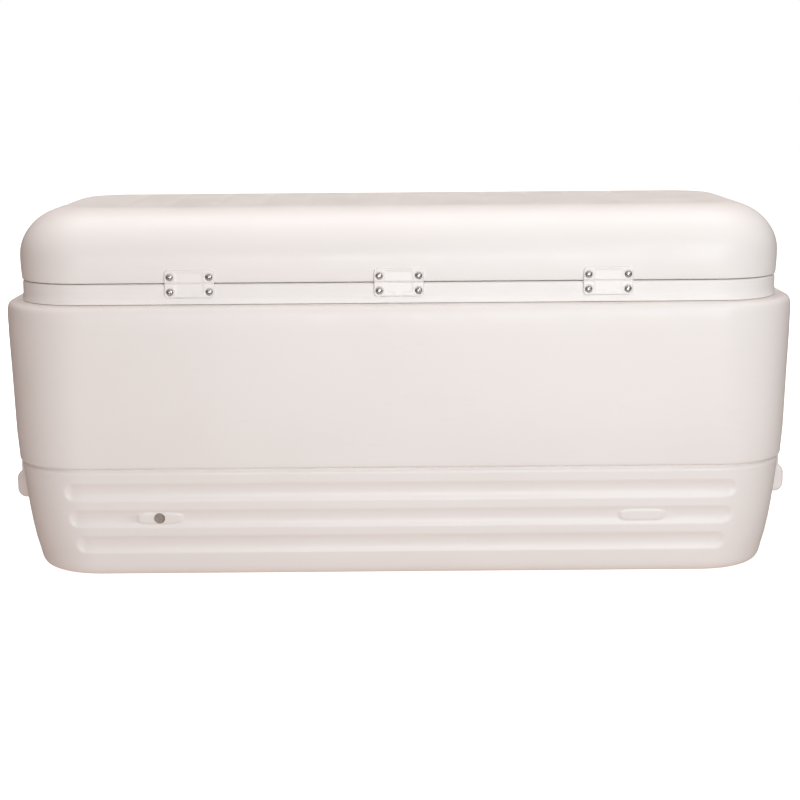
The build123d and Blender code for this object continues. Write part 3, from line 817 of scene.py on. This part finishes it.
# ---------------------------------------------------------------- hinges
def strap(name, xc):
    """One flexible strap: lower leaf on the neck, upper leaf on the lid, thin fold between."""
    W, z0, z1, rc = 29.25, 344.8, 378.0, 5.0
    zs_ = []
    for deg in frange(0, 90, 6):
        zs_.append(z0 + rc * (1 - math.cos(math.radians(deg))))
        zs_.append(z1 - rc * (1 - math.cos(math.radians(deg))))
    zs_ += frange(z0 + rc, z1 - rc, 36)
    zs_ += [FOLD_Z + o for o in (-0.9, -0.5, -0.15, 0.15, 0.5, 0.9)]
    zs_ = uniq(zs_, 0.12)
    xs_ = uniq(frange(-1, 1, 78))

    def half(z):
        d = min(z - z0, z1 - z)
        if d >= rc:
            return W
        return W - (rc - math.sqrt(max(rc ** 2 - (rc - d) ** 2, 0)))

    def back_y(z):
        t = smoothstep(np.array((z - (FOLD_Z - 1.8)) / 3.6))
        return float(199.6 + (200.75 - 199.6) * t)

    def front_h(x, z):
        h = 2.35
        d = abs(z - FOLD_Z)
        h -= 1.25 * math.exp(-(d / 0.75) ** 2)                  # fold groove
        # slightly sunken panel between the screws
        px = max(abs(x) - 15.0, 0)
        pz = max(abs(z - FOLD_Z - 1.2) - 11.4, 0)
        m = float(smoothstep(np.array(1 - math.hypot(px, pz) / 2.2)))
        h -= 0.42 * m
        # arched relief at the lower edge
        e = ((x / 8.5) ** 2 + ((z - z0 - 1.0) / 5.4) ** 2)
        if z < FOLD_Z:
            h -= 0.34 * float(smoothstep(np.array((1.0 - e) / 0.45)))
        # dished seats round the screws
        for sx in (-23.2, 23.2):
            for sz in (351.5, 369.1):
                q = math.hypot(x - sx, z - sz)
                h -= 0.62 * float(smoothstep(np.array((5.5 - q) / 0.9)))
                h += 0.16 * math.exp(-((q - 6.3) / 0.7) ** 2)
        return h

    nx, nz = len(xs_), len(zs_)
    verts, faces = [], []
    fi = {}
    for j, z in enumerate(zs_):
        w = half(z)
        for i, t in enumerate(xs_):
            core = 22.0
            x = t * W
            if abs(x) > core:
                x = math.copysign(core + (abs(x) - core) * (w - core) / (W - core), x)
            dz = min(z - z0, z1 - z)
            edge = min(w - abs(x), dz) if dz < rc else W - abs(x)
            # distance to the rounded outline
            if dz < rc and abs(x) > W - rc:
                edge = rc - math.hypot(abs(x) - (W - rc), rc - dz)
            elif dz < rc:
                edge = dz if abs(x) <= W - rc else min(dz, W - abs(x))
            rnd = 0.0
            if edge < 0.9:
                q = max(edge, 0.0) / 0.9
                rnd = 0.75 * (1 - math.sqrt(max(1 - (1 - q) ** 2, 0)))
            y = back_y(z) + front_h(x, z) - rnd
            y = min(y, back_y(z) + 2.55)
            fi[(i, j)] = len(verts)
            verts.append((xc + x, y, z))
    bi = {}
    for j, z in enumerate(zs_):
        for i, t in enumerate(xs_):
            x = verts[fi[(i, j)]][0]
            if i in (0, nx - 1) or j in (0, nz - 1):
                bi[(i, j)] = len(verts)
                verts.append((x, back_y(z), z))
    for j in range(nz - 1):
        for i in range(nx - 1):
            faces.append((fi[(i, j)], fi[(i, j + 1)], fi[(i + 1, j + 1)], fi[(i + 1, j)]))
    # rim walls and back
    for i in range(nx - 1):
        faces.append((fi[(i, 0)], fi[(i + 1, 0)], bi[(i + 1, 0)], bi[(i, 0)]))
        faces.append((fi[(i + 1, nz - 1)], fi[(i, nz - 1)], bi[(i, nz - 1)], bi[(i + 1, nz - 1)]))
    for j in range(nz - 1):
        faces.append((fi[(0, j + 1)], fi[(0, j)], bi[(0, j)], bi[(0, j + 1)]))
        faces.append((fi[(nx - 1, j)], fi[(nx - 1, j + 1)], bi[(nx - 1, j + 1)], bi[(nx - 1, j)]))
        faces.append((bi[(0, j)], bi[(nx - 1, j)], bi[(nx - 1, j + 1)], bi[(0, j + 1)]))
    # the back strips meet the end rows' many points, so close them with fans
    faces.append(tuple(bi[(i, 0)] for i in range(nx)))
    faces.append(tuple(bi[(i, nz - 1)] for i in range(nx - 1, -1, -1)))
    ob = new_mesh(name, verts, [f for f in faces if len(set(f)) > 2])
    return ob


def close_flat(ob):
    """Drops the zero-area closing faces by merging what they join."""
    bm = bmesh.new()
    bm.from_mesh(ob.data)
    bmesh.ops.remove_doubles(bm, verts=bm.verts, dist=1e-6)
    bad = [f for f in bm.faces if f.calc_area() < 1e-12]
    if bad:
        bmesh.ops.delete(bm, geom=bad, context="FACES_ONLY")
    holes = [e for e in bm.edges if len(e.link_faces) == 1]
    if holes:
        bmesh.ops.holes_fill(bm, edges=holes, sides=0)
    bmesh.ops.recalc_face_normals(bm, faces=bm.faces)
    bm.to_mesh(ob.data)
    bm.free()
    return ob


hinge_names = {0: "left", 1: "centre", 2: "right"}
for i, hx in enumerate(HINGE_X):
    nm = hinge_names[i]
    ob = strap("hinge_strap_" + nm, hx)
    close_flat(ob)
    smooth(ob, 50)
    paint(ob, mat_hinge)
    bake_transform(ob)
    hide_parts(f"hinge_{nm}_body_leaf", f"hinge_{nm}_lid_leaf")


# ---------------------------------------------------------------- screws
def screw(name, head_r, head_h, shank_r, length, axis, at, seg=40, turn=0.0):
    """Domed head with a cross recess; the head is seated at 0 and rises along the axis."""
    R = (head_r ** 2 + head_h ** 2) / (2 * head_h)
    prof = [(-length, 0), (-length, shank_r * 0.4), (-length + 1.5, shank_r), (0.0, shank_r), (0.02, head_r - 0.15), (0.12, head_r), (0.32, head_r)]
    a0 = math.asin(min(head_r / R, 1))
    for k in range(1, 9):
        a = a0 * (1 - k / 8)
        d = 0.32 + (head_h - 0.32) * ((R * math.cos(a) - R * math.cos(a0)) / (R - R * math.cos(a0)))
        prof.append((d, R * math.sin(a) if k < 8 else 0))
    ob = lathe(name, prof, seg, "Z", (0, 0, 0))
    arm, wid, dep = head_r * 0.56, head_r * 0.135, head_h * 0.75
    pts = [(wid, wid), (arm, wid), (arm, -wid), (wid, -wid), (wid, -arm), (-wid, -arm), (-wid, -wid), (-arm, -wid), (-arm, wid), (-wid, wid), (-wid, arm), (wid, arm)]
    c, s = math.cos(turn), math.sin(turn)
    verts = []
    for (z, k) in ((head_h - dep, 0.45), (head_h + 1.0, 1.25)):
        for (x, y) in pts:
            x2, y2 = x * c - y * s, x * s + y * c
            verts.append((x2 * k, y2 * k, z))
    n = len(pts)
    faces = [tuple(range(n - 1, -1, -1)), tuple(range(n, 2 * n))]
    for i in range(n):
        k = (i + 1) % n
        faces.append((i, k, n + k, n + i))
    cr = tidy(new_mesh(name + "_x", verts, faces))
    cut(ob, [cr])
    rot = {"Y": Matrix.Rotation(-math.pi / 2, 4, "X"), "-Y": Matrix.Rotation(math.pi / 2, 4, "X"),
           "X": Matrix.Rotation(math.pi / 2, 4, "Y"), "-X": Matrix.Rotation(-math.pi / 2, 4, "Y")}[axis]
    ob.data.transform(Matrix.Translation(Vector(at) * MM) @ rot)
    return ob


def screw_set(name, node, body, pts, head_r, head_h, shank_r, length, axis):
    obs = [screw(f"{name}_{k}", head_r, head_h, shank_r, length, axis, p, turn=0.5 + 0.83 * k) for k, p in enumerate(pts)]
    ob = join(name, obs)
    tidy(ob)
    smooth(ob, 32)
    paint(ob, mat_steel)
    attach(ob, body)
    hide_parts(node)
    return ob


screw_set("screws_neck", "hinge_screws_body", "base", [(hx + s * 23.2, 201.33, 351.5) for hx in HINGE_X for s in (-1, 1)], 4.3, 2.0, 2.0, 12.0, "Y")
screw_set("screws_lid", "hinge_screws_lid", "lid", [(hx + s * 23.2, 202.48, 369.1) for hx in HINGE_X for s in (-1, 1)], 4.3, 2.0, 2.0, 12.0, "Y")
screw_set("screws_keeper", "latch_keeper_screws", "base", [(lx + s * 17, -202.3, 349.0) for lx in (-246.5, 246.5) for s in (-1, 1)], 3.0, 1.6, 1.6, 8.0, "-Y")
screw_set("screws_latch_base", "latch_base_screws", "lid", [(lx + s * 20, -203.6, 370.6) for lx in (-246.5, 246.5) for s in (-1, 1)], 3.0, 1.6, 1.6, 8.0, "-Y")
for side, sg in (("right", 1), ("left", -1)):
    pts = [(sg * 462.9, y, z) for y in (-66.0, 66.0) for z in (193.0, 229.0)]
    screw_set(f"screws_{side}_handle", f"{side}_handle_screws", "base", pts, 3.2, 1.5, 1.6, 10.0, "X" if sg > 0 else "-X")


# ---------------------------------------------------------------- refined copies of small mouldings
def refined(name, node, body, mat, width=0.6, seg=2, angle=32.0):
    """A copy of the moulding with softened edges that stays inside its size."""
    src = frame["nodes"][node]
    me = src.data.copy()
    me.name = name
    ob = bpy.data.objects.new(name, me)
    bpy.context.scene.collection.objects.link(ob)
    bm = bmesh.new()
    bm.from_mesh(me)
    bmesh.ops.remove_doubles(bm, verts=bm.verts, dist=2e-6)
    bmesh.ops.dissolve_limit(bm, angle_limit=math.radians(0.8), verts=bm.verts, edges=bm.edges)
    bm.to_mesh(me)
    bm.free()
    me.update()
    for a in [a.name for a in me.color_attributes]:
        me.color_attributes.remove(me.color_attributes[a])
    try:
        me.free_normals_split()
    except Exception:
        pass
    if me.attributes.get("custom_normal"):
        me.attributes.remove(me.attributes["custom_normal"])
    md = ob.modifiers.new("soft", "BEVEL")
    md.width = width * MM
    md.segments = seg
    md.limit_method = "ANGLE"
    md.angle_limit = math.radians(angle)
    md.use_clamp_overlap = True
    md.harden_normals = False
    bpy.context.view_layer.update()
    apply_mods(ob)
    tidy(ob, 1e-6)
    smooth(ob, 38)
    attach(ob, body)
    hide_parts(node)
    paint(ob, mat)
    return ob


for nm in ("left", "right"):
    refined(f"latch_tab_{nm}", f"latch_{nm}", f"latch_{nm}", mat_hinge, 0.8, 3)
    refined(f"latch_mount_{nm}", f"latch_base_{nm}", "lid", mat_hinge, 0.6)
    refined(f"keeper_{nm}", f"latch_keeper_{nm}", "base", mat_hinge, 0.6)
    refined(f"grip_{nm}", f"{nm}_handle", f"{nm}_handle", mat_handle, 1.0, 3)
    for fb in ("front", "back"):
        refined(f"bracket_{nm}_{fb}", f"{nm}_handle_bracket_{fb}", "base", mat_handle, 0.6)
refined("drain_tube", "drain_spout", "base", mat_drain, 0.4)
refined("drain_nut", "drain_collar", "base", mat_drain, 0.4)


# drain cap with finger flutes
def flutes(a, r, d):
    if r < 10.0 or d < 456.2:
        return r
    k = 0.5 * (1 + math.cos(a * 16))
    return r - 0.85 * k * k


cap_prof = [(464.9, 0), (464.9, 7.9), (464.7, 8.25), (464.4, 8.3), (456.0, 8.3), (455.6, 8.5), (455.4, 9.0), (455.4, 12.0), (455.5, 12.4), (455.8, 12.6),
            (456.3, 12.6), (457.0, 12.6), (459.0, 12.6), (462.0, 12.6), (465.0, 12.6), (465.9, 12.45), (466.6, 12.05), (467.0, 11.4), (467.2, 10.6),
            (467.2, 9.2), (467.0, 8.8), (466.4, 8.5), (466.3, 8.0), (466.3, 3.0), (466.3, 0)]
cap = lathe("cap_fluted", cap_prof, 128, "X", (0, 0, 34.0), radial=flutes)
smooth(cap, 35)
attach(cap, "drain_cap")
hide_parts("drain_cap")
paint(cap, mat_drain)

# ---------------------------------------------------------------- carried-over nodes
slots = {}
for rowp in frame["record"].get("subparts", []):
    slots[rowp["node"]] = rowp.get("material_slot")
by_slot = {"shell_plastic": mat_shell, "liner_plastic": mat_liner, "hinge_plastic": mat_hinge, "insulation_foam": mat_foam,
           "screw_steel": mat_steel, "port_plug_plastic": mat_port, "handle_plastic": mat_handle, "drain_plastic": mat_drain,
           "seal_rubber": mat_seal}
for name, ob in frame["nodes"].items():
    if ob.hide_render:
        continue
    s = slots.get(name)
    ob.data.materials.clear()
    ob.data.materials.append(by_slot.get(s, mat_shell))

# ---------------------------------------------------------------- floor, light, camera
fl = new_mesh("floor", [(-9000, -9000, 0), (9000, -9000, 0), (9000, 9000, 0), (-9000, 9000, 0)], [(0, 1, 2, 3)])
m, nt, bs = shader("m_floor", 0.9)
nt.links.new(ramp(nt, noise(nt, 1.2, 3.0), [(0.3, (0.925, 0.922, 0.918)), (0.7, (0.94, 0.938, 0.935))]), bs.inputs["Base Color"])
nt.links.new(bump(nt, noise(nt, 240.0, 3.0), 0.0001, 0.4), bs.inputs["Normal"])
bs.inputs["Specular IOR Level"].default_value = 0.1
bs.inputs["Emission Color"].default_value = (1.0, 1.0, 1.0, 1.0)
bs.inputs["Emission Strength"].default_value = 0.8
fl.data.materials.append(m)
fl.location.z = -0.0005
fl.visible_diffuse = False
fl.visible_glossy = False
fl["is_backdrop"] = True

world = bpy.data.worlds.new("studio")
bpy.context.scene.world = world
world.use_nodes = True
wt = world.node_tree
wt.nodes.clear()
wo = wt.nodes.new("ShaderNodeOutputWorld")
seen = wt.nodes.new("ShaderNodeBackground")
seen.inputs[0].default_value = (1, 1, 1, 1)
seen.inputs[1].default_value = 1.0


def hemisphere(direction, color):
    """Fill light that is strongest from one direction and fades to nothing at right angles to it."""
    co = wt.nodes.new("ShaderNodeTexCoord")
    dt = wt.nodes.new("ShaderNodeVectorMath")
    dt.operation = "DOT_PRODUCT"
    dt.inputs[1].default_value = direction
    wt.links.new(co.outputs["Generated"], dt.inputs[0])
    top = wt.nodes.new("ShaderNodeMath")
    top.operation = "MAXIMUM"
    top.inputs[1].default_value = 0.0
    wt.links.new(dt.outputs["Value"], top.inputs[0])
    bg = wt.nodes.new("ShaderNodeBackground")
    bg.inputs[0].default_value = (*color, 1.0)
    wt.links.new(top.outputs[0], bg.inputs[1])
    return bg.outputs[0]


both = wt.nodes.new("ShaderNodeAddShader")
wt.links.new(hemisphere((0, 0, 1), (0.979, 0.825, 0.762)), both.inputs[0])
wt.links.new(hemisphere((0, 0, -1), (0.96, 0.765, 0.68)), both.inputs[1])
lp = wt.nodes.new("ShaderNodeLightPath")
mx = wt.nodes.new("ShaderNodeMixShader")
wt.links.new(lp.outputs["Is Camera Ray"], mx.inputs[0])
wt.links.new(both.outputs[0], mx.inputs[1])
wt.links.new(seen.outputs[0], mx.inputs[2])
wt.links.new(mx.outputs[0], wo.inputs[0])


def area(name, loc, target, sx, sy, power, color=(1, 1, 1)):
    li = bpy.data.lights.new(name, "AREA")
    li.shape = "RECTANGLE"
    li.size, li.size_y = sx, sy
    li.energy = power
    li.color = color
    ob = bpy.data.objects.new(name, li)
    bpy.context.scene.collection.objects.link(ob)
    ob.location = loc
    ob.rotation_euler = (Vector(target) - Vector(loc)).to_track_quat("-Z", "Y").to_euler()
    ob.visible_camera = False
    return ob


area("key", (-0.75, 1.6, 0.95), (0, 0.2, 0.2), 0.6, 0.5, 7.6, (0.72, 0.90, 0.96))
low = area("low_front", (-0.25, 2.6, 0.3), (0, 0.2, 0.2), 1.6, 0.3, 27.0, (0.95, 0.965, 0.985))
low.data.specular_factor = 0.4
area("top", (0.0, -0.6, 2.4), (0, -0.05, 0.4), 2.6, 1.2, 21.2, (0.82, 0.91, 0.965))
area("rear", (0.0, -2.6, 0.24), (0, 0, 0.22), 2.2, 0.36, 22.0, (0.95, 0.97, 1.0))

cam_data = bpy.data.cameras.new("camera")
cam = bpy.data.objects.new("camera", cam_data)
bpy.context.scene.collection.objects.link(cam)
D, ZC, PITCH, F_PX, ROLL, XO = 2193.0, 588.4, 0.1826, 1701.0, 0.0080, 0.3
cam_data.sensor_width = 36.0
cam_data.sensor_fit = "HORIZONTAL"
cam_data.lens = F_PX / 800.0 * 36.0
cam_data.clip_start, cam_data.clip_end = 0.05, 60.0
base_rot = Matrix.Rotation(math.pi, 4, "Z") @ Matrix.Rotation(math.pi / 2 - PITCH, 4, "X") @ Matrix.Rotation(-ROLL, 4, "Z")
cam.matrix_world = Matrix.Translation(Vector((-XO, D, ZC)) * MM) @ base_rot
bpy.context.scene.camera = cam
bpy.context.scene.view_settings.view_transform = "Standard"

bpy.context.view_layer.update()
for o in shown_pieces():
    o.data.calc_loop_triangles()
